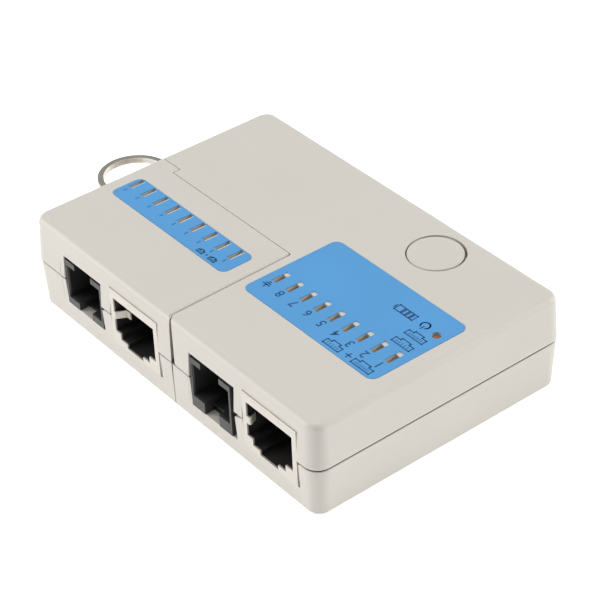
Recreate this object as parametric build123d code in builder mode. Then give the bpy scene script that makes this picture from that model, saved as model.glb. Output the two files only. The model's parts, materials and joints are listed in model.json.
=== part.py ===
"""Network cable tester: an L-shaped main unit with a remote terminator docked
in its front-left bay, a round power button, modular jacks and a key ring.

Units are millimetres. X runs left to right along the jack face, Y from the
jack face to the back, Z up. The origin is the centre of the closed case at its
underside.
"""

from build123d import *
import math
import os

os.makedirs("parts", exist_ok=True)

# ---------------------------------------------------------------- case sizes
W, D, H = 80.0, 54.2, 18.5          # closed case, main unit and remote together
SEAM = 9.7                          # height of the joint between shell halves
SEAM_GAP = 0.34                     # shadow gap left between the halves
STEP = 0.1                          # lower half is this much smaller all round
R_CASE = 3.0                        # vertical corner radius
R_TOP = 1.35                        # top edge rounding
R_FOOT = 0.4                        # bottom edge rounding
DRAFT_TOP = 3.4                     # degrees, upper half
DRAFT_BOT = 3.3                     # degrees, lower half
WALL = 1.8                          # floor and roof
SIDE = 2.3                          # drafted side walls, measured at the seam

# ------------------------------------------------------------------ docking
X_DOCK = 0.95                       # inner features keep this far from the dock
Y_MAIN = 0.04                       # main unit's wall behind the remote
Y_REM = -0.10                       # remote's rear wall
X_JOG = -33.6                       # the rear wall steps back left of this
JOG = 1.55                          # by this much
R_DOCK = 0.4                        # edge rounding beside the docking gap

# -------------------------------------------------------------------- jacks
YF = -D / 2                         # plane of the jack faces
J_FACE = YF + 0.15                  # shield faces, just inside the case front
J45_W, J45_Z0, J45_Z1, J45_DEEP = 13.9, 4.12, 15.5, 15.0
J11_W, J11_Z0, J11_Z1, J11_DEEP = 11.0, 3.98, 13.9, 13.0
X45_MAIN, X45_REM = 28.22, -9.02    # centres of the eight-way openings
X11_MAIN, X11_REM = 12.35, -24.60   # centres of the six-way openings
SHEET = 0.3                         # shield sheet metal
# windows in the case front: x0, x1, z0, z1, and further left and right below the seam
WIN45_MAIN = (21.19, 35.25, 4.02, 15.58, 0.0, 0.25)
WIN45_REM = (-16.05, -1.99, 4.02, 15.58, 0.0, 0.28)
WIN11_MAIN = (6.75, 19.05, 3.50, 14.60, 0.62, 0.0)
WIN11_REM = (-30.20, -18.80, 4.36, 14.50, 1.30, 0.0)

# ------------------------------------------------------------------- boards
PCB_Z0, PCB_Z1 = 2.3, 3.9

# ----------------------------------------------------------------- lamp rows
N_LED = 9
MAIN_LED_X0, MAIN_PITCH, MAIN_LED_Y = 4.87, 3.635, -5.45
REM_LED_X0, REM_PITCH, REM_LED_Y = -34.9, 3.675, -7.2
SLOT_W, SLOT_L = 1.2, 3.4
REM_SLOT_W, REM_SLOT_L = 1.1, 3.2
LAMP_X, LAMP_Y, LAMP_R = 34.17, 3.44, 0.85

# ------------------------------------------------------------------- button
BTN_X, BTN_Y, BTN_R, BTN_HOLE = 16.87, 18.85, 5.0, 5.36
CAP_X, CAP_Y = BTN_X - 0.11, BTN_Y - 0.07   # the cap sits a little off the hole's middle
BTN_TRAVEL = 1.0

# ------------------------------------------------------------------ battery
BAT_R, BAT_L = 5.15, 28.5
BAT_X, BAT_Y, BAT_Z = -19.2, 14.0, 7.4
DOOR_X0, DOOR_X1 = -39.3, -3.2
DOOR_Y0, DOOR_Y1 = 8.0, 20.0

# ------------------------------------------------------------------- screws
MAIN_SCREWS = [(-34.4, 23.0), (34.7, 22.0), (4.45, -19.5), (34.9, 10.0)]
REM_SCREWS = [(-34.4, -19.5), (-17.0, -10.6)]

# ----------------------------------------------------------------- key ring
RING_W, RING_T, RING_PITCH = 1.1, 0.56, 0.62
RING_R = 7.21                       # outside radius
LUG_Y0, LUG_Y1 = -1.7, 0.7
RING_C = (-47.70, 0.72, 10.06)
RING_N = (0.055, -0.232, 0.971)


def save(builder, name):
    """Label a finished piece and write it as its own STEP."""
    builder.part.label = name
    export_step(builder.part, f"parts/{name}.step")


def box_at(x0, x1, y0, y1, z0, z1, mode=Mode.ADD):
    """An axis-aligned block between two corners, in the active part."""
    with Locations(((x0 + x1) / 2, (y0 + y1) / 2, (z0 + z1) / 2)):
        Box(x1 - x0, y1 - y0, z1 - z0, mode=mode)


def rod_at(x, y, z0, z1, r, mode=Mode.ADD):
    """An upright cylinder, in the active part."""
    with Locations((x, y, (z0 + z1) / 2)):
        Cylinder(r, z1 - z0, mode=mode)


# ------------------------------------------------------------ outer envelopes
# The closed case is one drafted block above the seam and one below it. Each
# unit's shell is cut out of these blocks, so that the outside runs through.

def upper_block(rounded):
    """Drafted upper block; its top edge is rounded when asked."""
    with BuildPart() as b:
        with BuildSketch(Plane.XY.offset(SEAM)):
            RectangleRounded(W, D, R_CASE)
        extrude(amount=H - SEAM, taper=DRAFT_TOP)
        if rounded:
            fillet(b.faces().sort_by(Axis.Z)[-1].edges(), R_TOP)
            fillet(b.faces().sort_by(Axis.Z)[0].edges(), 0.12)
    return b.part


def lower_block():
    """Drafted lower block, from the seam down to the underside."""
    with BuildPart() as b:
        with BuildSketch(Plane(origin=(0, 0, SEAM - SEAM_GAP), x_dir=(1, 0, 0), z_dir=(0, 0, -1))):
            RectangleRounded(W - 2 * STEP, D - 2 * STEP, R_CASE - STEP)
        extrude(amount=SEAM - SEAM_GAP, taper=DRAFT_BOT)
        fillet(b.faces().sort_by(Axis.Z)[0].edges(), R_FOOT)
        fillet(b.faces().sort_by(Axis.Z)[-1].edges(), 0.2)
    return b.part


def rounded_corner(cx, cy, r, a0, a1, n=10):
    """Points along a corner's arc about (cx, cy), between two angles in degrees."""
    return [
        (cx + r * math.cos(math.radians(a0 + (a1 - a0) * i / n)),
         cy + r * math.sin(math.radians(a0 + (a1 - a0) * i / n)))
        for i in range(n + 1)
    ]


def main_outline(inset, r):
    """Plan of the main unit's L, its dock walls moved in by an inset.

    The wall beside the remote leans a little and ends in a rounded corner at
    the jack face.
    """
    xa, xb = 0.66 + inset, 1.10 + inset
    return (
        [(-60.0, Y_MAIN + JOG + inset), (X_JOG + inset, Y_MAIN + JOG + inset),
         (X_JOG + inset, Y_MAIN + inset), (xa, Y_MAIN + inset)]
        + rounded_corner(xb + r, YF + 0.05 + r, r, 180, 270)
        + [(xb + r + 2, YF + 0.05), (xb + r + 2, -60.0), (60.0, -60.0), (60.0, 60.0), (-60.0, 60.0)]
    )


def remote_outline(inset):
    """Plan of the remote; its right-hand end flares towards the jack face."""
    j = inset
    return [
        (-60.0, Y_REM + JOG - j), (X_JOG - 0.14 - j, Y_REM + JOG - j), (X_JOG - 0.14 - j, Y_REM - j),
        (0.30 - j, Y_REM - j), (0.70 - j, -24.3), (0.78 - j, -25.0), (0.92 - j, -25.6), (1.15 - j, -26.2),
        (1.45 - j, -26.7), (1.80 - j, YF + 0.05), (1.80 - j, -60.0), (-60.0, -60.0),
    ]


def plan_cut(block, outline):
    """A block cut to a plan outline."""
    with BuildPart() as b:
        with BuildSketch(Plane.XY.offset(-5)):
            with BuildLine():
                Polyline(*outline, close=True)
            make_face()
        extrude(amount=H + 10)
        add(block, mode=Mode.INTERSECT)
    return b.part


def soften(part, start, end, radius, solid_side):
    """Round the straight top edge between two plan points.

    solid_side is -1 when the solid lies on the -X side of the edge, else 1.
    """
    length = math.hypot(end[0] - start[0], end[1] - start[1])
    angle = math.degrees(math.atan2(start[0] - end[0], start[1] - end[1]))
    mid = ((start[0] + end[0]) / 2, (start[1] + end[1]) / 2)
    with BuildPart() as strip:
        with BuildSketch(Plane.XZ):
            with BuildLine():
                Polyline((0, -radius), (-solid_side * 0.5, -radius), (-solid_side * 0.5, 1.0),
                         (solid_side * radius, 1.0), (solid_side * radius, 0))
                k = radius * (1 - math.sqrt(0.5))
                ThreePointArc((solid_side * radius, 0), (solid_side * k, -k), (0, -radius))
            make_face()
        extrude(amount=length / 2, both=True)
    with BuildPart() as b:
        add(part)
        add(Pos(mid[0], mid[1], H) * Rot(0, 0, -angle) * strip.part, mode=Mode.SUBTRACT)
    return b.part


TOP = upper_block(True)
BOT = lower_block()

main_top_block = plan_cut(TOP, main_outline(0.0, 2.3))
main_bottom_block = plan_cut(BOT, main_outline(0.08, 1.3))
remote_top_block = plan_cut(TOP, remote_outline(0.0))
remote_bottom_block = plan_cut(BOT, remote_outline(0.08))
main_top_block = soften(main_top_block, (0.66, Y_MAIN - 0.4), (1.10, -24.8), 0.12, 1)
remote_top_block = soften(remote_top_block, (0.30, Y_REM + 1.0), (0.72, -26.1), R_DOCK, -1)


# ------------------------------------------------------------------ hollows
def main_hollow(grow, z0, z1):
    """The main unit's L-shaped inside, its outline grown by a lip's width."""
    with BuildPart() as b:
        with BuildSketch(Plane.XY.offset(z0)):
            with BuildLine():
                Polyline(
                    (-W / 2 + SIDE, Y_MAIN + JOG + WALL),
                    (X_JOG + WALL, Y_MAIN + JOG + WALL),
                    (X_JOG + WALL, Y_MAIN + WALL),
                    (X_DOCK + WALL, Y_MAIN + WALL),
                    (X_DOCK + WALL, YF + SIDE),
                    (W / 2 - SIDE, YF + SIDE),
                    (W / 2 - SIDE, -YF - SIDE),
                    (-W / 2 + SIDE, -YF - SIDE),
                    close=True,
                )
            make_face()
            if grow:
                offset(amount=grow, kind=Kind.INTERSECTION, mode=Mode.REPLACE)
        extrude(amount=z1 - z0)
    return b.part


def remote_hollow(grow, z0, z1):
    """The remote's inside, its outline grown by a lip's width."""
    with BuildPart() as b:
        with BuildSketch(Plane.XY.offset(z0)):
            with BuildLine():
                Polyline(
                    (-W / 2 + SIDE, Y_REM - 2.6),
                    (0.3 - WALL, Y_REM - 2.6),
                    (0.3 - WALL, YF + SIDE),
                    (-W / 2 + SIDE, YF + SIDE),
                    close=True,
                )
            make_face()
            if grow:
                offset(amount=grow, kind=Kind.INTERSECTION, mode=Mode.REPLACE)
        extrude(amount=z1 - z0)
    return b.part


LIP, LIP_H = 0.8, 1.1


def slots(n, x0, pitch, y, w, l, z0, z1):
    """A row of lamp slots, subtracted from the active part."""
    with Locations(*[(x0 + i * pitch, y, (z0 + z1) / 2) for i in range(n)]):
        Box(w, l, z1 - z0, mode=Mode.SUBTRACT)


def jack_windows(win45, win11, lower):
    """Windows in the front wall, and room in the walls behind for the jacks.

    Below the seam each window is a little wider to one side.
    """
    for (x0, x1, z0, z1, left, right), deep in ((win45, J45_DEEP), (win11, J11_DEEP)):
        if lower:
            box_at(x0 - left, x1 + right, YF - 2, YF + deep + 0.5, z0, SEAM + 3, mode=Mode.SUBTRACT)
        else:
            box_at(x0, x1, YF - 2, YF + deep + 0.5, SEAM - 1, z1, mode=Mode.SUBTRACT)


def seam_wedge(x, length, drop):
    """A tapering nick in the lower half's rim beside a window."""
    with BuildPart() as b:
        with BuildSketch(Plane.XZ.offset(-YF - 2.2)):
            with BuildLine():
                Polyline((x - 0.2, SEAM + 0.2), (x + length, SEAM - SEAM_GAP + 0.1),
                         (x - 0.2, SEAM - SEAM_GAP - drop), close=True)
            make_face()
        extrude(amount=3.4)
    return b.part


def side_tongue(x0, x1, z0):
    """A strip of the upper half that reaches down beside the six-way window."""
    with BuildPart() as b:
        box_at(x0, x1, YF - 1, YF + 1.5, z0, SEAM + 0.6)
        add(BOT, mode=Mode.INTERSECT)
    with BuildPart() as c:
        add(b.part)
        box_at(x0, x1, YF + 0.25, YF + 1.5, SEAM - SEAM_GAP - 0.4, SEAM + 0.6)
        box_at(x0, x1, YF + 0.12, YF + 1.5, SEAM - SEAM_GAP - 0.15, SEAM + 0.1)
    return c.part


# Wires of a key ring pass behind an upright post, which two ears hold off the
# left-hand wall. Each shell half carries one ear and its half of the post.
POST_X0, POST_X1 = -44.15, -43.25


def ring_room():
    """A shallow hollow in the left wall where the ring's wire turns."""
    box_at(-41.5, -39.4, -5.4, 8.8, 6.5, 12.2, mode=Mode.SUBTRACT)


def lug(z_ear0, z_ear1, z_post0, z_post1):
    box_at(POST_X0, -W / 2 + 1.2, LUG_Y0, LUG_Y1, z_ear0, z_ear1)
    box_at(POST_X0, POST_X1, LUG_Y0, LUG_Y1, z_post0, z_post1)


# A dovetail rib on the main unit's inner wall slides in a groove in the back
# of the remote, which opens at the remote's right-hand end.
RAIL_Z, RAIL_X0, RAIL_X1 = 6.4, -31.0, -1.0


def dovetail(x0, x1, clearance, reach, y_root):
    """The dovetail's section, run along X."""
    with BuildPart() as b:
        with BuildSketch(Plane(origin=(x0, 0, 0), x_dir=(0, 1, 0), z_dir=(1, 0, 0))):
            with BuildLine():
                Polyline(
                    (y_root, RAIL_Z - 1.0 - clearance),
                    (Y_MAIN - reach, RAIL_Z - 1.6 - clearance),
                    (Y_MAIN - reach, RAIL_Z + 1.6 + clearance),
                    (y_root, RAIL_Z + 1.0 + clearance),
                    close=True,
                )
            make_face()
        extrude(amount=x1 - x0)
    return b.part


MAIN_RAIL = dovetail(RAIL_X0, RAIL_X1, 0.0, 1.5, Y_MAIN + 0.2)
REM_GROOVE = dovetail(RAIL_X0 - 0.6, 2.0, 0.2, 1.75, Y_MAIN + 0.2)

# ------------------------------------------------------------ main top shell
with BuildPart() as main_top_shell:
    add(main_top_block)
    add(main_hollow(0, SEAM - 1, H - WALL), mode=Mode.SUBTRACT)
    add(main_hollow(LIP + 0.1, SEAM - 1, SEAM + LIP_H), mode=Mode.SUBTRACT)
    for sx, sy in MAIN_SCREWS:
        low = PCB_Z1 + 0.05 if sx > 0 else PCB_Z0 + 0.3
        rod_at(sx, sy, low, H - WALL, 1.65 if (sx, sy) == MAIN_SCREWS[2] else 2.15)
        rod_at(sx, sy, low - 1, 15.2, 1.15, mode=Mode.SUBTRACT)
    slots(N_LED, MAIN_LED_X0, MAIN_PITCH, MAIN_LED_Y - 0.42, SLOT_W, SLOT_L - 0.84, H - 3, H + 1)
    rod_at(LAMP_X, LAMP_Y, H - 3, H + 1, LAMP_R, mode=Mode.SUBTRACT)
    rod_at(BTN_X, BTN_Y, H - 3, H + 1, BTN_HOLE, mode=Mode.SUBTRACT)
    jack_windows(WIN45_MAIN, WIN11_MAIN, False)
    ring_room()
    add(side_tongue(6.21, 6.75, 3.5))
    # shallow seat for the label
    with BuildSketch(Plane.XY.offset(H)):
        with Locations((19.4, -1.72)):
            RectangleRounded(33.7, 21.0, 1.6)
    extrude(amount=-0.1, mode=Mode.SUBTRACT)
save(main_top_shell, "main_top_shell")

# --------------------------------------------------------- main bottom shell
with BuildPart() as main_bottom_shell:
    add(main_bottom_block)
    add(MAIN_RAIL)
    add(main_hollow(0, WALL, SEAM + 1), mode=Mode.SUBTRACT)
    # tongue that closes the seam from inside
    add(main_hollow(LIP, SEAM - SEAM_GAP - 0.6, SEAM + LIP_H - 0.1))
    add(main_hollow(0, SEAM - 2, SEAM + 3), mode=Mode.SUBTRACT)
    jack_windows(WIN45_MAIN, WIN11_MAIN, True)
    ring_room()
    add(seam_wedge(WIN11_MAIN[1], 2.0, 0.8), mode=Mode.SUBTRACT)
    add(seam_wedge(WIN45_MAIN[1] + 0.25, 0.6, 0.5), mode=Mode.SUBTRACT)
    # battery tub, open underneath
    box_at(-36.2, -2.0, 7.2, 20.8, WALL - 0.2, 14.0)
    box_at(-34.8, -3.4, 8.6, 19.4, -1, 12.8, mode=Mode.SUBTRACT)
    # opening and side grooves for the battery door, out through the left wall
    box_at(-45, DOOR_X1 + 0.15, DOOR_Y0 - 0.15, DOOR_Y1 + 0.15, -1, 1.55, mode=Mode.SUBTRACT)
    box_at(-45, DOOR_X1 + 0.15, DOOR_Y0 - 0.85, DOOR_Y1 + 0.85, 0.55, 1.35, mode=Mode.SUBTRACT)
    for sx, sy in MAIN_SCREWS:
        top = PCB_Z0 - 0.05
        rod_at(sx, sy, WALL - 0.2, top, 3.0)
        rod_at(sx, sy, -1, 3, 1.25, mode=Mode.SUBTRACT)
        rod_at(sx, sy, -1, 1.25, 2.2, mode=Mode.SUBTRACT)
    # board ribs
    for rx, ry in ((8.0, 16.0), (26.0, 16.0), (20.4, -16.0)):
        box_at(rx - 2, rx + 2, ry - 0.6, ry + 0.6, WALL - 0.2, PCB_Z0 - 0.03)
save(main_bottom_shell, "main_bottom_shell")

# ---------------------------------------------------------- remote top shell
with BuildPart() as remote_top_shell:
    add(remote_top_block)
    add(remote_hollow(0, SEAM - 1, H - WALL), mode=Mode.SUBTRACT)
    add(remote_hollow(LIP + 0.1, SEAM - 1, SEAM + LIP_H), mode=Mode.SUBTRACT)
    for sx, sy in REM_SCREWS:
        rod_at(sx, sy, PCB_Z1 + 0.05, H - WALL, 1.45)
        rod_at(sx, sy, PCB_Z1 - 1, 13.2, 0.85, mode=Mode.SUBTRACT)
    slots(N_LED, REM_LED_X0 - 0.19, REM_PITCH, REM_LED_Y, REM_SLOT_W - 0.38, REM_SLOT_L, H - 3, H + 1)
    jack_windows(WIN45_REM, WIN11_REM, False)
    # the tongue's edge runs on upwards as a fine groove
    box_at(-31.52, -31.42, YF - 1, YF + 0.32, SEAM - 1, 12.4, mode=Mode.SUBTRACT)
    add(side_tongue(-31.42, -30.20, 4.36))
    ring_room()
    lug(12.2, 13.4, SEAM, 13.4)
    with BuildSketch(Plane.XY.offset(H)):
        with Locations((-19.45, -8.8)):
            RectangleRounded(33.6, 7.0, 1.4)
    extrude(amount=-0.1, mode=Mode.SUBTRACT)
save(remote_top_shell, "remote_top_shell")

# ------------------------------------------------------- remote bottom shell
with BuildPart() as remote_bottom_shell:
    add(remote_bottom_block)
    add(remote_hollow(0, WALL, SEAM + 1), mode=Mode.SUBTRACT)
    add(remote_hollow(LIP, SEAM - SEAM_GAP - 0.6, SEAM + LIP_H - 0.1))
    add(remote_hollow(0, SEAM - 2, SEAM + 3), mode=Mode.SUBTRACT)
    add(REM_GROOVE, mode=Mode.SUBTRACT)
    jack_windows(WIN45_REM, WIN11_REM, True)
    add(seam_wedge(WIN11_REM[1], 1.1, 0.5), mode=Mode.SUBTRACT)
    ring_room()
    lug(6.2, 7.4, 6.2, SEAM - SEAM_GAP)
    for sx, sy in REM_SCREWS:
        rod_at(sx, sy, WALL - 0.2, PCB_Z0 - 0.05, 2.4)
        rod_at(sx, sy, -1, 3, 0.95, mode=Mode.SUBTRACT)
        rod_at(sx, sy, -1, 1.25, 1.65, mode=Mode.SUBTRACT)
    for rx, ry in ((-24.0, -4.0), (-8.0, -4.0)):
        box_at(rx - 2, rx + 2, ry - 0.6, ry + 0.6, WALL - 0.2, PCB_Z0 - 0.03)
save(remote_bottom_shell, "remote_bottom_shell")

# ------------------------------------------------------------------- labels
with BuildPart() as main_label:
    with BuildSketch(Plane.XY.offset(H - 0.1)):
        with Locations((19.4, -1.72)):
            RectangleRounded(33.56, 20.86, 1.5)
    extrude(amount=0.14)
    slots(N_LED, MAIN_LED_X0, MAIN_PITCH, MAIN_LED_Y, SLOT_W, SLOT_L, H - 1, H + 1)
    rod_at(LAMP_X, LAMP_Y, H - 1, H + 1, LAMP_R, mode=Mode.SUBTRACT)
save(main_label, "main_label")

with BuildPart() as remote_label:
    with BuildSketch(Plane.XY.offset(H - 0.1)):
        with Locations((-19.45, -8.8)):
            RectangleRounded(33.44, 6.84, 1.3)
    extrude(amount=0.14)
    slots(N_LED, REM_LED_X0, REM_PITCH, REM_LED_Y, REM_SLOT_W, REM_SLOT_L, H - 1, H + 1)
save(remote_label, "remote_label")

# ------------------------------------------------------------------- boards
with BuildPart() as main_board:
    box_at(3.1, 37.4, YF + 2.5, 24.5, PCB_Z0, PCB_Z1)
    for sx, sy in MAIN_SCREWS[1:]:
        rod_at(sx, sy, 0, 6, 1.4, mode=Mode.SUBTRACT)
save(main_board, "main_board")

with BuildPart() as remote_board:
    box_at(-37.4, -2.2, YF + 2.5, -3.0, PCB_Z0, PCB_Z1)
    for sx, sy in REM_SCREWS:
        rod_at(sx, sy, 0, 6, 1.1, mode=Mode.SUBTRACT)
save(remote_board, "remote_board")


# -------------------------------------------------------------- 8-way jacks
def j45_points(x):
    """Corners of the stepped plug opening in the jack's face, latch side down."""
    return [
        (x - 5.91, 13.76), (x + 5.85, 13.76),
        (x + 5.85, 6.77), (x + 3.95, 6.77),
        (x + 3.95, 5.47), (x + 1.95, 5.47),
        (x + 1.95, 4.57), (x - 2.65, 4.57),
        (x - 2.65, 5.47), (x - 4.50, 5.47),
        (x - 4.50, 6.77), (x - 5.91, 6.77),
    ]


FRONT = Plane(origin=(0, YF, 0), x_dir=(1, 0, 0), z_dir=(0, -1, 0))


def j45_shield(x, finger):
    """Folded sheet shield with a plug opening in its face and a side spring."""
    with BuildPart() as b:
        box_at(x - J45_W / 2, x + J45_W / 2, J_FACE, YF + J45_DEEP, J45_Z0, J45_Z1)
        box_at(x - J45_W / 2 + SHEET, x + J45_W / 2 - SHEET, J_FACE + SHEET, YF + J45_DEEP - SHEET,
               J45_Z0 - 1, J45_Z1 - SHEET, mode=Mode.SUBTRACT)
        with BuildSketch(FRONT):
            with BuildLine():
                Polyline(*j45_points(x), close=True)
            make_face()
        extrude(amount=-2.0, mode=Mode.SUBTRACT)
        # spring bent in from the left-hand edge of the opening
        with BuildSketch(Plane.XY.offset(9.35)):
            with BuildLine():
                Polyline(*[(x - 5.85 + px, J_FACE + py) for px, py in finger], close=True)
            make_face()
        extrude(amount=1.5)
    return b


SHORT_FINGER = [(-0.4, 0.0), (0.62, 0.0), (0.78, 0.2), (0.78, 0.5), (0.2, 1.7), (0.03, 1.7), (0.5, 0.45), (0.5, 0.3), (-0.4, 0.3)]
LONG_FINGER = [(-0.4, 0.0), (0.2, 0.0), (1.1, 1.75), (2.15, 1.8), (2.15, 2.05), (0.95, 2.0), (0.05, 0.3), (-0.4, 0.3)]


def j45_housing(x):
    """Moulded insert that fills the shield round the plug cavity."""
    c = 0.04
    with BuildPart() as b:
        box_at(x - J45_W / 2 + SHEET + c, x + J45_W / 2 - SHEET - c, J_FACE + SHEET + c, YF + J45_DEEP - SHEET - c,
               J45_Z0, J45_Z1 - SHEET - c)
        # pads that stand it on the board
        with Locations(*[(x + s * 5.2, YF + 8.0, (PCB_Z1 + 0.05 + J45_Z0) / 2) for s in (-1, 1)]):
            Box(1.6, 9.0, J45_Z0 - PCB_Z1 - 0.05)
        with BuildSketch(FRONT):
            with BuildLine():
                Polyline(*j45_points(x), close=True)
            make_face()
        extrude(amount=-11.5, mode=Mode.SUBTRACT)
        # comb slots that the contact wires run in
        with Locations(*[(x - 3.57 + 1.02 * i, YF + 6.3, 14.15) for i in range(8)]):
            Box(0.62, 10.2, 0.9, mode=Mode.SUBTRACT)
    return b


def contacts(x, n, pitch, y0, y1, z_top, z_low, wire=0.36):
    """Spring wires that slope down and back from the top of a jack."""
    with BuildPart() as b:
        for i in range(n):
            xi = x + (i - (n - 1) / 2) * pitch
            with BuildSketch(Plane(origin=(xi - wire / 2, 0, 0), x_dir=(0, 1, 0), z_dir=(1, 0, 0))):
                with BuildLine():
                    Polyline(
                        (y0, z_top), (y0 + 1.0, z_top), (y1 - 0.5, z_low + 0.3),
                        (y1, z_low + 0.3), (y1, z_low), (y1 - 0.65, z_low),
                        (y0 + 0.8, z_top - 0.32), (y0, z_top - 0.32), close=True,
                    )
                make_face()
            extrude(amount=wire)
    return b


for unit, x45, x11, finger in (
    ("main", X45_MAIN, X11_MAIN, SHORT_FINGER),
    ("remote", X45_REM, X11_REM, LONG_FINGER),
):
    save(j45_shield(x45, finger), f"{unit}_rj45_shield")
    save(j45_housing(x45), f"{unit}_rj45_housing")
    save(contacts(x45, 8, 1.02, YF + 2.0, YF + 9.5, 14.35, 11.9), f"{unit}_rj45_contacts")

    # six-way jack: plain black moulding, cut back in the middle of its face's
    # top edge and open below for the plug's latch
    with BuildPart() as j11:
        box_at(x11 - J11_W / 2, x11 + J11_W / 2, YF + 0.3, YF + J11_DEEP, J11_Z0 + 0.44, J11_Z1)
        if unit == "main":
            box_at(x11 - J11_W / 2, x11 + J11_W / 2, YF + 0.3, YF + 2.3, J11_Z0 - 0.4, J11_Z0 + 0.5)
        # feet that stand it on the board
        with Locations(*[(x11 + s * 4.2, YF + 8.0, J11_Z0 + 0.3) for s in (-1, 1)]):
            Box(1.6, 7.0, 0.6)
        box_at(x11 - 4.87, x11 + 4.87, YF, YF + 10.5, 6.0, 12.6, mode=Mode.SUBTRACT)
        box_at(x11 - 2.0, x11 + 2.0, YF, YF + 2.3, 0, 7, mode=Mode.SUBTRACT)
        box_at(x11 - 2.0, x11 + 2.0, YF, YF + 9.5, 4.9, 7, mode=Mode.SUBTRACT)
        box_at(x11 - 2.5, x11 + 2.5, YF, YF + 1.9, 12, 16, mode=Mode.SUBTRACT)
        # shallow lead-in round the opening
        with BuildSketch(Plane(origin=(0, YF + 0.3, 0), x_dir=(1, 0, 0), z_dir=(0, 1, 0))):
            with Locations((x11, -9.3)):
                Rectangle(10.0, 6.9)
        extrude(amount=0.35, taper=20, mode=Mode.SUBTRACT)
        with Locations(*[(x11 - 1.53 + 1.02 * i, YF + 6.0, 13.0) for i in range(4)]):
            Box(0.62, 9.0, 0.9, mode=Mode.SUBTRACT)
    save(j11, f"{unit}_rj11_housing")
    save(contacts(x11, 4, 1.02, YF + 1.95, YF + 9.0, 13.3, 11.1), f"{unit}_rj11_contacts")


# --------------------------------------------------------------------- lamps
def led_row(n, x0, pitch, y, w, l, lens_dx, lens_top):
    """Rectangular lamps on wire legs, their lenses standing in the slots."""
    with BuildPart() as b:
        for i in range(n):
            xi = x0 + i * pitch
            box_at(xi - 0.95, xi + 0.95, y - l / 2 - 0.15, y + l / 2 + 0.15, 11.0, H - WALL - 0.1)
            box_at(xi + lens_dx - w / 2, xi + lens_dx + w / 2, y - l / 2, y + l / 2, 16.0, lens_top)
            for s in (-1, 1):
                box_at(xi - 0.25, xi + 0.25, y + s * 1.0 - 0.25, y + s * 1.0 + 0.25, PCB_Z1 + 0.03, 11.5)
    return b


save(led_row(N_LED, MAIN_LED_X0, MAIN_PITCH, MAIN_LED_Y - 0.42, SLOT_W - 0.16, SLOT_L - 1.0, 0.0, H - 0.75), "main_leds")
save(led_row(N_LED, REM_LED_X0, REM_PITCH, REM_LED_Y, REM_SLOT_W - 0.54, REM_SLOT_L - 0.2, -0.19, H - 1.5), "remote_leds")

with BuildPart() as power_led:
    rod_at(LAMP_X, LAMP_Y, 11.0, 16.5, 1.5)
    rod_at(LAMP_X, LAMP_Y, 11.0, 11.9, 1.75)
    rod_at(LAMP_X, LAMP_Y, 16.0, H - 0.35, 0.74)
    fillet(power_led.faces().sort_by(Axis.Z)[-1].edges(), 0.3)
    for s in (-1, 1):
        box_at(LAMP_X - 0.25, LAMP_X + 0.25, LAMP_Y + s * 0.9 - 0.25, LAMP_Y + s * 0.9 + 0.25, PCB_Z1 + 0.03, 11.5)
save(power_led, "power_led")

# -------------------------------------------------------------- power switch
with BuildPart() as button_cap:
    rod_at(CAP_X, CAP_Y, 15.4, H, BTN_R)
    fillet(button_cap.faces().sort_by(Axis.Z)[-1].edges(), 0.25)
    rod_at(BTN_X, BTN_Y, 14.9, H - WALL - 0.15, 5.9)
    rod_at(BTN_X, BTN_Y, 12.3, 15.0, 2.0)
save(button_cap, "button_cap")

with BuildPart() as switch_body:
    box_at(BTN_X - 4.2, BTN_X + 4.2, BTN_Y - 4.2, BTN_Y + 4.2, PCB_Z1 + 0.03, 10.4)
    box_at(BTN_X - 1.85, BTN_X + 1.85, BTN_Y - 1.85, BTN_Y + 1.85, 6.5, 12, mode=Mode.SUBTRACT)
    chamfer(switch_body.edges().filter_by(Axis.Z).group_by(SortBy.DISTANCE)[-1], 0.4)
save(switch_body, "switch_body")

with BuildPart() as switch_plunger:
    box_at(BTN_X - 1.7, BTN_X + 1.7, BTN_Y - 1.7, BTN_Y + 1.7, 7.9, 12.25)
    chamfer(switch_plunger.faces().sort_by(Axis.Z)[-1].edges(), 0.3)
save(switch_plunger, "switch_plunger")

SPRING_Z0, SPRING_Z1, SPRING_R, SPRING_WIRE = 10.45, 14.85, 3.2, 0.25
with BuildPart() as button_spring:
    with BuildLine() as coil:
        Helix(1.05, SPRING_Z1 - SPRING_Z0 - 2 * SPRING_WIRE, SPRING_R,
              center=(BTN_X, BTN_Y, SPRING_Z0 + SPRING_WIRE))
    with BuildSketch(Plane(origin=coil.line @ 0, z_dir=coil.line % 0)):
        Circle(SPRING_WIRE)
    sweep(path=coil.line, is_frenet=True)
save(button_spring, "button_spring")

# ------------------------------------------------------------- electronics
with BuildPart() as main_controller:
    box_at(7.0, 26.0, 3.2, 9.6, 4.4, 7.6)
    chamfer(main_controller.faces().sort_by(Axis.Z)[-1].edges(), 0.3)
    rod_at(7.0, 6.4, 7.1, 9, 0.8, mode=Mode.SUBTRACT)
    for i in range(8):
        lx = 16.5 + (i - 3.5) * 2.3
        box_at(lx - 0.25, lx + 0.25, 2.4, 3.3, 5.8, 6.1)
        box_at(lx - 0.25, lx + 0.25, 2.4, 2.65, PCB_Z1 + 0.03, 6.1)
        box_at(lx - 0.25, lx + 0.25, 9.5, 10.4, 5.8, 6.1)
        box_at(lx - 0.25, lx + 0.25, 10.15, 10.4, PCB_Z1 + 0.03, 6.1)
save(main_controller, "main_controller")

with BuildPart() as main_resistors:
    with Locations(*[(6.5 + 3.2 * i, -0.6, PCB_Z1 + 0.33) for i in range(9)]):
        Box(1.3, 2.0, 0.6)
save(main_resistors, "main_resistors")

with BuildPart() as remote_diodes:
    with Locations(*[(-30.6 + 3.4 * i, -4.1, PCB_Z1 + 0.53) for i in range(8)]):
        Box(1.5, 2.0, 1.0)
save(remote_diodes, "remote_diodes")

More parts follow.
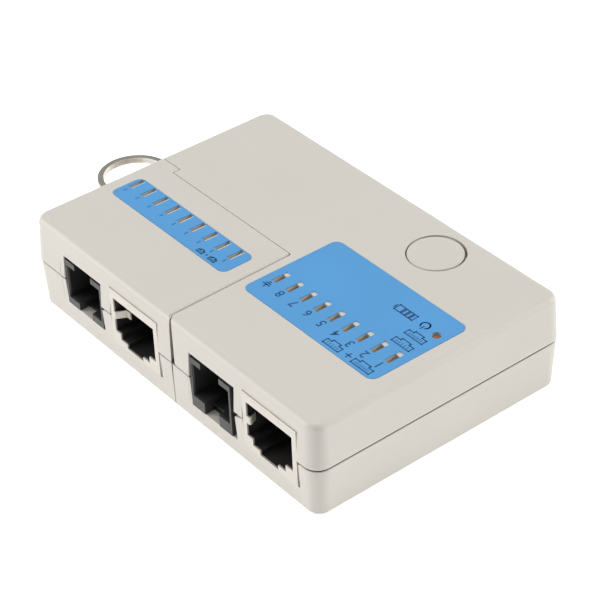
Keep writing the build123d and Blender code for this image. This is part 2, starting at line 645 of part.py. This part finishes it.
# ------------------------------------------------------------------ battery
with BuildPart() as battery:
    with Locations(Location((BAT_X, BAT_Y, BAT_Z), (0, 90, 0))):
        Cylinder(BAT_R, BAT_L - 1.4)
    fillet(battery.edges().filter_by(GeomType.CIRCLE), 0.5)
    with Locations(Location((BAT_X + BAT_L / 2 - 0.75, BAT_Y, BAT_Z), (0, 90, 0))):
        Cylinder(2.0, 1.3)
save(battery, "battery")

with BuildPart() as battery_spring_contact:
    box_at(-34.75, -34.4, BAT_Y - 4, BAT_Y + 4, 3.0, 11.8)
    with BuildSketch(Plane(origin=(0, BAT_Y - 2.2, 0), x_dir=(1, 0, 0), z_dir=(0, -1, 0))):
        with BuildLine():
            Polyline((-34.5, 10.6), (-33.05, 7.5), (-34.2, 4.4), (-34.5, 4.4), (-33.45, 7.5), (-34.5, 9.9), close=True)
        make_face()
    extrude(amount=-4.4)
save(battery_spring_contact, "battery_spring_contact")

with BuildPart() as battery_flat_contact:
    box_at(-3.8, -3.45, BAT_Y - 4, BAT_Y + 4, 3.0, 11.8)
    with Locations(Location((-4.1, BAT_Y, BAT_Z), (0, 90, 0))):
        Cylinder(1.2, 0.8)
save(battery_flat_contact, "battery_flat_contact")

with BuildPart() as battery_door:
    box_at(DOOR_X0, DOOR_X1, DOOR_Y0, DOOR_Y1, 0.04, 1.4)
    box_at(DOOR_X0 + 0.4, DOOR_X1, DOOR_Y0 - 0.7, DOOR_Y1 + 0.7, 0.65, 1.25)
    # finger grooves near the pulling end
    with Locations(*[(DOOR_X0 + 4.0 + 1.4 * i, BAT_Y, 0.04) for i in range(5)]):
        Box(0.6, 8.0, 0.6, mode=Mode.SUBTRACT)
save(battery_door, "battery_door")


# ------------------------------------------------------------------- screws
def screws(points, head_r, shank_r, z_tip):
    """Pan-head case screws put in from below, with a cross recess."""
    with BuildPart() as b:
        for sx, sy in points:
            rod_at(sx, sy, 0.25, 1.22, head_r)
            rod_at(sx, sy, 1.2, z_tip, shank_r)
            box_at(sx - head_r * 0.6, sx + head_r * 0.6, sy - 0.2, sy + 0.2, 0, 0.7, mode=Mode.SUBTRACT)
            box_at(sx - 0.2, sx + 0.2, sy - head_r * 0.6, sy + head_r * 0.6, 0, 0.7, mode=Mode.SUBTRACT)
    return b


save(screws(MAIN_SCREWS, 2.0, 1.1, 13.5), "main_screws")
save(screws(REM_SCREWS, 1.5, 0.8, 11.5), "remote_screws")

# ----------------------------------------------------------------- key ring
# Two turns of flat spring wire, wound as a helix in the ring's own plane.
ring_plane = Plane(origin=RING_C, x_dir=Vector(0.97, 0.23, 0.0), z_dir=RING_N)
with BuildPart() as key_ring:
    with BuildLine(ring_plane) as turn:
        Helix(RING_PITCH, 2 * RING_PITCH, RING_R - RING_W / 2, center=(0, 0, -RING_PITCH))
    with BuildSketch(Plane(origin=turn.line @ 0, x_dir=(turn.line @ 0) - Vector(RING_C) , z_dir=turn.line % 0)):
        Rectangle(RING_W, RING_T)
    sweep(path=turn.line, is_frenet=True)
save(key_ring, "key_ring")
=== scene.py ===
"""Looks for the network cable tester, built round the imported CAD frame."""

import json
import math

import bpy
import bmesh
from mathutils import Matrix, Vector

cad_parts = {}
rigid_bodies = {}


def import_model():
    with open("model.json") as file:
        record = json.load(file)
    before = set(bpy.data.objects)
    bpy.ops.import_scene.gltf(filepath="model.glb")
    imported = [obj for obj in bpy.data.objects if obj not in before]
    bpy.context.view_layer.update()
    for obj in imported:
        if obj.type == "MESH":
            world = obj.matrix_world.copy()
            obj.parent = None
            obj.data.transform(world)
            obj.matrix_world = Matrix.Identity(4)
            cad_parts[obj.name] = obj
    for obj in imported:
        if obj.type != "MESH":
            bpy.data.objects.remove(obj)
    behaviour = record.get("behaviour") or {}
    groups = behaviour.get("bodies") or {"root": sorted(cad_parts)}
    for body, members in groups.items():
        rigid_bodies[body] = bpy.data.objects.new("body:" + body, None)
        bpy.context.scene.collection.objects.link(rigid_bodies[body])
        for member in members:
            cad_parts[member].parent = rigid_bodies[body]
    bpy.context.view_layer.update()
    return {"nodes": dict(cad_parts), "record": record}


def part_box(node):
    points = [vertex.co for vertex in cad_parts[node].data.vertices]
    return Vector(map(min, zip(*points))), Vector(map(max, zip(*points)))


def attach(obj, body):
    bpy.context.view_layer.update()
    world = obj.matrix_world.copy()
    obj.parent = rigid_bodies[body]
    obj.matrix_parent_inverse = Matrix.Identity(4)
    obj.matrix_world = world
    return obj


for o in list(bpy.data.objects):
    bpy.data.objects.remove(o)

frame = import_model()
NODES = frame["nodes"]
MM = 0.001


# ------------------------------------------------------------------ camera
def make_camera():
    az, el, roll = math.radians(52.5466), math.radians(36.5839), math.radians(-2.3969)
    look = Vector((2.0212, 0.4465, 9.27)) * MM
    dist = 368.63 * MM
    back = Vector((math.sin(az) * math.cos(el), -math.cos(az) * math.cos(el), math.sin(el)))
    fwd = -back
    right = fwd.cross(Vector((0, 0, 1))).normalized()
    up = right.cross(fwd)
    r = right * math.cos(roll) + up * math.sin(roll)
    u = -right * math.sin(roll) + up * math.cos(roll)
    cam = bpy.data.cameras.new("camera")
    cam.sensor_width = 36.0
    cam.lens = 127.197
    cam.clip_start = 0.02
    cam.clip_end = 20.0
    ob = bpy.data.objects.new("camera", cam)
    m = Matrix.Identity(4)
    for i in range(3):
        m[i][0], m[i][1], m[i][2] = r[i], u[i], back[i]
        m[i][3] = (look + back * dist)[i]
    ob.matrix_world = m
    bpy.context.scene.collection.objects.link(ob)
    bpy.context.scene.camera = ob


make_camera()


# --------------------------------------------------------------- materials
def lin(c):
    """sRGB 0..255 to linear."""
    out = []
    for v in c:
        v = v / 255.0
        out.append(v / 12.92 if v <= 0.04045 else ((v + 0.055) / 1.055) ** 2.4)
    return (*out, 1.0)


def material(name, color, rough=0.5, metal=0.0, spec=0.5, var=0.03, var_scale=90.0,
             grain=2500.0, bump=0.02, depth=0.00002, rough_var=0.08, ior=1.46, coat=0.0,
             coat_rough=0.2, detail=3.0, second=None, second_scale=400.0, second_amt=0.0,
             emission=None, emit=0.0, sss=0.0, trans=0.0, stretch=None, seam_shade_band=None):
    """Principled material with procedural colour, gloss and surface variation, and optional painted shade between two
    heights.
    """
    m = bpy.data.materials.new(name)
    m.use_nodes = True
    nt = m.node_tree
    n, l = nt.nodes, nt.links
    p = n["Principled BSDF"]
    p.inputs["Metallic"].default_value = metal
    p.inputs["IOR"].default_value = ior
    p.inputs["Specular IOR Level"].default_value = spec
    p.inputs["Coat Weight"].default_value = coat
    p.inputs["Coat Roughness"].default_value = coat_rough
    p.inputs["Transmission Weight"].default_value = trans
    if sss:
        p.inputs["Subsurface Weight"].default_value = sss
        p.inputs["Subsurface Scale"].default_value = 0.002
        p.inputs["Subsurface Radius"].default_value = (1.0, 0.8, 0.6)
    tc = n.new("ShaderNodeTexCoord")
    src = tc.outputs["Object"]
    if stretch:
        mp = n.new("ShaderNodeMapping")
        mp.inputs["Scale"].default_value = stretch
        l.new(src, mp.inputs["Vector"])
        src = mp.outputs["Vector"]
    # slow colour drift
    n1 = n.new("ShaderNodeTexNoise")
    n1.inputs["Scale"].default_value = var_scale
    n1.inputs["Detail"].default_value = 2.0
    l.new(src, n1.inputs["Vector"])
    ramp = n.new("ShaderNodeValToRGB")
    c = lin(color)
    ramp.color_ramp.elements[0].position = 0.3
    ramp.color_ramp.elements[1].position = 0.7
    ramp.color_ramp.elements[0].color = (*[x * (1 - var) for x in c[:3]], 1)
    ramp.color_ramp.elements[1].color = (*[min(1.0, x * (1 + var)) for x in c[:3]], 1)
    l.new(n1.outputs["Fac"], ramp.inputs["Fac"])
    col = ramp.outputs["Color"]
    if second:
        n3 = n.new("ShaderNodeTexNoise")
        n3.inputs["Scale"].default_value = second_scale
        n3.inputs["Detail"].default_value = 4.0
        n3.inputs["Roughness"].default_value = 0.65
        l.new(src, n3.inputs["Vector"])
        r3 = n.new("ShaderNodeValToRGB")
        r3.color_ramp.elements[0].position = 0.62
        r3.color_ramp.elements[1].position = 0.78
        r3.color_ramp.elements[0].color = (0, 0, 0, 1)
        r3.color_ramp.elements[1].color = (second_amt, second_amt, second_amt, 1)
        l.new(n3.outputs["Fac"], r3.inputs["Fac"])
        mx = n.new("ShaderNodeMix")
        mx.data_type = "RGBA"
        l.new(r3.outputs["Color"], mx.inputs["Factor"])
        l.new(col, mx.inputs["A"])
        mx.inputs["B"].default_value = lin(second)
        col = mx.outputs["Result"]
    if seam_shade_band:
        # painted shade: the surface between two heights on the part, the narrow seam gap, is painted darker to stand in
        # for the shade inside the gap
        z0, z1, seam_shade_color = seam_shade_band
        sep = n.new("ShaderNodeSeparateXYZ")
        l.new(tc.outputs["Object"], sep.inputs["Vector"])
        hi = n.new("ShaderNodeMath")
        hi.operation = "GREATER_THAN"
        hi.inputs[1].default_value = z0
        l.new(sep.outputs["Z"], hi.inputs[0])
        lo = n.new("ShaderNodeMath")
        lo.operation = "LESS_THAN"
        lo.inputs[1].default_value = z1
        l.new(sep.outputs["Z"], lo.inputs[0])
        both = n.new("ShaderNodeMath")
        both.operation = "MULTIPLY"
        l.new(hi.outputs[0], both.inputs[0])
        l.new(lo.outputs[0], both.inputs[1])
        mb = n.new("ShaderNodeMix")
        mb.data_type = "RGBA"
        l.new(both.outputs[0], mb.inputs["Factor"])
        l.new(col, mb.inputs["A"])
        mb.inputs["B"].default_value = lin(seam_shade_color)
        col = mb.outputs["Result"]
    l.new(col, p.inputs["Base Color"])
    # fine grain: roughness and bump
    n2 = n.new("ShaderNodeTexNoise")
    n2.inputs["Scale"].default_value = grain
    n2.inputs["Detail"].default_value = detail
    l.new(src, n2.inputs["Vector"])
    mr = n.new("ShaderNodeMapRange")
    mr.inputs["To Min"].default_value = max(0.02, rough - rough_var)
    mr.inputs["To Max"].default_value = min(1.0, rough + rough_var)
    l.new(n2.outputs["Fac"], mr.inputs["Value"])
    l.new(mr.outputs["Result"], p.inputs["Roughness"])
    if bump:
        b = n.new("ShaderNodeBump")
        b.inputs["Strength"].default_value = bump
        b.inputs["Distance"].default_value = depth
        l.new(n2.outputs["Fac"], b.inputs["Height"])
        l.new(b.outputs["Normal"], p.inputs["Normal"])
    if emission:
        p.inputs["Emission Color"].default_value = lin(emission)
        p.inputs["Emission Strength"].default_value = emit
    return m


CASE = (207, 203, 195)
M = {
    # painted shade: the case colour is darkened between two heights, in the seam gap between the two shells
    "case_plastic": material("case_plastic", CASE, rough=0.46, var=0.012, var_scale=45, grain=5200,
                             bump=0.14, depth=0.00003, rough_var=0.06, sss=0.05,
                             second=(200, 194, 184), second_scale=130, second_amt=0.15,
                             seam_shade_band=(0.00935, 0.00971, (96, 88, 78))),
    "label_film": material("label_film", (86, 156, 213), rough=0.42, var=0.03, var_scale=70, grain=3600,
                           bump=0.05, rough_var=0.08, coat=0.15, coat_rough=0.3,
                           second=(112, 172, 220), second_scale=900, second_amt=0.12),
    "board": material("board", (34, 92, 52), rough=0.35, var=0.12, var_scale=500, grain=1800,
                      bump=0.1, coat=0.4, second=(70, 130, 70), second_scale=420, second_amt=0.5),
    "shield_metal": material("shield_metal", (213, 207, 198), rough=0.38, metal=0.35, var=0.03,
                             var_scale=350, grain=900, bump=0.06, rough_var=0.1, stretch=(1, 1, 9)),
    "gold_contact": material("gold_contact", (196, 150, 78), rough=0.26, metal=1.0, var=0.1,
                             var_scale=600, grain=2600, bump=0.05),
    "black_plastic": material("black_plastic", (50, 49, 49), rough=0.24, var=0.1, var_scale=260,
                              grain=3600, bump=0.06, rough_var=0.07),
    "lamp_body": material("lamp_body", (140, 122, 102), rough=0.3, var=0.1, var_scale=900,
                          grain=2200, bump=0.06, coat=0.3, coat_rough=0.1),
    "power_lamp": material("power_lamp", (160, 98, 62), rough=0.25, var=0.12, var_scale=900,
                           grain=2200, bump=0.04, coat=0.5, coat_rough=0.1),
    "plunger_plastic": material("plunger_plastic", (225, 225, 220), rough=0.45, var=0.02, grain=3000, bump=0.08),
    "battery_jacket": material("battery_jacket", (78, 82, 90), rough=0.32, var=0.05, var_scale=200,
                               grain=2000, bump=0.05, coat=0.4),
    "spring_steel": material("spring_steel", (196, 196, 194), rough=0.28, metal=1.0, var=0.06,
                             var_scale=700, grain=2400, bump=0.05),
    "ring_steel": material("ring_steel", (212, 207, 198), rough=0.24, metal=0.8, var=0.05,
                           var_scale=500, grain=1800, bump=0.04, rough_var=0.05),
}
INK = material("print_ink", (34, 84, 130), rough=0.6, var=0.12, var_scale=2500, grain=5200, bump=0.1)

slot_of = {s["node"]: s["material_slot"] for s in frame["record"]["subparts"]}
# the remote's lamps sit deeper; they get a darker copy of the lamp colour, painted shade for their deeper recess
LAMP_PAINTED_SHADE = material("lamp_body_painted_shade", (92, 80, 70), rough=0.35, var=0.1, var_scale=900,
                     grain=2200, bump=0.06)
for name, ob in NODES.items():
    mat = LAMP_PAINTED_SHADE if name == "remote_leds" else M[slot_of[name]]
    if ob.material_slots:
        for s in ob.material_slots:
            s.material = mat
    else:
        ob.data.materials.append(mat)


# ------------------------------------------------------------ mesh helpers
def mesh_piece(name, verts, faces, mat, body, smooth=False):
    me = bpy.data.meshes.new(name)
    me.from_pydata([tuple(v) for v in verts], [], faces)
    me.validate()
    me.update()
    ob = bpy.data.objects.new(name, me)
    bpy.context.scene.collection.objects.link(ob)
    me.materials.append(mat)
    if smooth:
        for p in me.polygons:
            p.use_smooth = True
    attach(ob, body)
    return ob


def text_mesh(body_text, size, extrude=0.00001):
    """Mesh of a short run of digits, centred on its own origin."""
    cu = bpy.data.curves.new("t", "FONT")
    cu.body = body_text
    cu.size = size
    cu.align_x = "CENTER"
    cu.align_y = "CENTER"
    cu.extrude = extrude
    cu.offset = 0.03 * size / 2.5
    cu.resolution_u = 4
    ob = bpy.data.objects.new("t", cu)
    bpy.context.scene.collection.objects.link(ob)
    bpy.context.view_layer.update()
    dg = bpy.context.evaluated_depsgraph_get()
    me = bpy.data.meshes.new_from_object(ob.evaluated_get(dg))
    bpy.data.objects.remove(ob)
    bpy.data.curves.remove(cu)
    return me


def joined(name, parts, mat, body):
    """One piece from several (mesh, matrix) pairs."""
    bm = bmesh.new()
    for me, mx in parts:
        t = bmesh.new()
        t.from_mesh(me)
        bmesh.ops.transform(t, matrix=mx, verts=t.verts)
        tmp = bpy.data.meshes.new("tmp")
        t.to_mesh(tmp)
        t.free()
        bm.from_mesh(tmp)
        bpy.data.meshes.remove(tmp)
    me = bpy.data.meshes.new(name)
    bm.to_mesh(me)
    bm.free()
    ob = bpy.data.objects.new(name, me)
    bpy.context.scene.collection.objects.link(ob)
    me.materials.append(mat)
    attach(ob, body)
    return ob


def bar_mesh(pts, width, thick):
    """Flat stroke of constant width along straight runs, in XY, as separate boxes."""
    bm = bmesh.new()
    for a, b in zip(pts[:-1], pts[1:]):
        a, b = Vector((*a, 0)), Vector((*b, 0))
        d = (b - a).normalized()
        s = Vector((-d.y, d.x, 0)) * width / 2
        e = d * width / 2
        q = [a - e + s, a - e - s, b + e - s, b + e + s]
        lo = [bm.verts.new(v + Vector((0, 0, -thick))) for v in q]
        hi = [bm.verts.new(v + Vector((0, 0, thick))) for v in q]
        bm.faces.new(lo)
        bm.faces.new(list(reversed(hi)))
        for i in range(4):
            j = (i + 1) % 4
            bm.faces.new((lo[j], lo[i], hi[i], hi[j]))
    bmesh.ops.recalc_face_normals(bm, faces=bm.faces)
    me = bpy.data.meshes.new("bar")
    bm.to_mesh(me)
    bm.free()
    return me


# -------------------------------------------------------- printing on labels
TOP_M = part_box("main_label")[1].z
TOP_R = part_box("remote_label")[1].z
FLIP = Matrix.Rotation(math.pi, 4, "Z")


def at(x, y, z, flip=True):
    m = Matrix.Translation((x * MM, y * MM, z))
    return m @ FLIP if flip else m


parts = []
LED_X = [4.87 + 3.635 * i for i in range(9)]
for i, x in enumerate(LED_X):
    if i == 0:
        continue
    parts.append((text_mesh(str(9 - i), 2.5 * MM), at(x - 0.15, -8.5, TOP_M)))
# earth sign at the first lamp: stem and three bars
g = [((0, 0.75), (0, 0.1)), ((-0.75, 0.1), (0.75, 0.1)), ((-0.45, -0.35), (0.45, -0.35)), ((-0.15, -0.8), (0.15, -0.8))]
for a, b in g:
    parts.append((bar_mesh([(a[0] * MM, a[1] * MM), (b[0] * MM, b[1] * MM)], 0.3 * MM, 0.00001), at(LED_X[0] - 0.15, -8.5, TOP_M)))


def plug_sign(w, h, ticks):
    """Outline of a modular plug opening with a row of contact ticks."""
    s = []
    k = [(-w / 2, h / 2), (w / 2, h / 2), (w / 2, -h * 0.22), (w * 0.24, -h * 0.22), (w * 0.24, -h / 2),
         (-w * 0.24, -h / 2), (-w * 0.24, -h * 0.22), (-w / 2, -h * 0.22), (-w / 2, h / 2)]
    s.append(bar_mesh([(x * MM, y * MM) for x, y in k], 0.24 * MM, 0.00001))
    for i in range(ticks):
        x = (i - (ticks - 1) / 2) * w * 0.78 / ticks
        s.append(bar_mesh([(x * MM, h * 0.32 * MM), (x * MM, h * 0.02 * MM)], 0.13 * MM, 0.00001))
    return s


def place(signs, x, y, z):
    return [(me, at(x, y, z)) for me in signs]


def plus(r, w):
    return [bar_mesh([(-r * MM, 0), (r * MM, 0)], w * MM, 0.00001),
            bar_mesh([(0, -r * MM), (0, r * MM)], w * MM, 0.00001)]


# both plugs along the front edge, joined by a plus sign
parts += place(plug_sign(4.4, 1.6, 8), 32.3, -10.65, TOP_M)
parts += place(plus(0.6, 0.26), 28.7, -10.65, TOP_M)
parts += place(plug_sign(3.8, 1.6, 5), 25.0, -10.65, TOP_M)
# beside the lamp
parts += place(plug_sign(4.2, 1.6, 8), 32.2, 0.8, TOP_M)
parts += place(plug_sign(4.2, 1.6, 5), 32.2, -2.0, TOP_M)
# power sign, an arc open at the top with a stroke, and a battery outline
arc = [(0.85 * math.sin(math.radians(t)), 0.85 * math.cos(math.radians(t))) for t in range(40, 321, 20)]
parts += place([bar_mesh([(x * MM, y * MM) for x, y in arc], 0.28 * MM, 0.00001),
                bar_mesh([(0, 0.35 * MM), (0, 1.05 * MM)], 0.28 * MM, 0.00001)], 31.0, 3.8, TOP_M)
cell = [(-2.2, 0.75), (2.2, 0.75), (2.2, -0.75), (-2.2, -0.75), (-2.2, 0.75)]
parts += place([bar_mesh([(x * MM, y * MM) for x, y in cell], 0.26 * MM, 0.00001),
                bar_mesh([(2.55 * MM, 0.3 * MM), (2.55 * MM, -0.3 * MM)], 0.3 * MM, 0.00001)]
               + [bar_mesh([(k * MM, 0.35 * MM), (k * MM, -0.35 * MM)], 0.6 * MM, 0.00001) for k in (-1.4, -0.4, 0.6)],
               26.2, 3.8, TOP_M)
joined("main_label_print", parts, INK, "main")

# remote: a short tick before each lamp and a small pair of plug signs
parts = []
for i in range(9):
    x = -34.9 + 3.675 * i
    parts.append((bar_mesh([(0, -0.32 * MM), (0, 0.32 * MM)], 0.2 * MM, 0.00001), at(x, -9.75, TOP_R)))
parts += place(plug_sign(1.7, 0.95, 6), -7.1, -11.05, TOP_R)
parts += place([bar_mesh([(-0.25 * MM, 0), (0.25 * MM, 0)], 0.13 * MM, 0.00001),
                bar_mesh([(0, -0.25 * MM), (0, 0.25 * MM)], 0.13 * MM, 0.00001)], -8.8, -11.05, TOP_R)
parts += place(plug_sign(1.5, 0.95, 4), -10.4, -11.05, TOP_R)
joined("remote_label_print", parts, INK, "remote")


# ------------------------------------------------------- floor and lighting
def make_stage():
    s = 6.0
    me = bpy.data.meshes.new("floor")
    me.from_pydata([(-s, -s, 0), (s, -s, 0), (s, s, 0), (-s, s, 0)], [], [(0, 1, 2, 3)])
    fl = bpy.data.objects.new("floor", me)
    bpy.context.scene.collection.objects.link(fl)
    fl.location.z = -0.00005
    m = material("floor_paper", (255, 255, 255), rough=0.9, spec=0.1, var=0.004, var_scale=3,
                 grain=800, bump=0.0, emission=(255, 255, 255), emit=0.32)
    me.materials.append(m)


make_stage()


def area(name, loc, target, size, energy, color=(1, 1, 1)):
    li = bpy.data.lights.new(name, "AREA")
    li.shape = "RECTANGLE"
    li.size, li.size_y = size
    li.energy = energy
    li.color = color
    ob = bpy.data.objects.new(name, li)
    ob.location = loc
    d = Vector(target) - Vector(loc)
    ob.rotation_euler = d.to_track_quat("-Z", "Y").to_euler()
    bpy.context.scene.collection.objects.link(ob)
    return ob


world = bpy.data.worlds.new("studio")
bpy.context.scene.world = world
world.use_nodes = True
bg = world.node_tree.nodes["Background"]
bg.inputs["Color"].default_value = (1.0, 0.995, 0.985, 1)
bg.inputs["Strength"].default_value = 0.24

def from_angles(az, el, r):
    a, e = math.radians(az), math.radians(el)
    return (r * math.sin(a) * math.cos(e), -r * math.cos(a) * math.cos(e), r * math.sin(e))


area("front_box", from_angles(-45, 22, 1.0), (0, 0, 0), (0.4, 0.4), 5.0)
area("back_box", from_angles(150, 22, 1.0), (0, 0, 0), (0.4, 0.4), 5.2)
area("top_box", from_angles(0, 89.5, 1.0), (0, 0, 0), (0.8, 0.8), 5.7)

sc = bpy.context.scene
sc.view_settings.view_transform = "Standard"
sc.view_settings.look = "None"
sc.view_settings.exposure = 0.0
sc.view_settings.gamma = 1.0
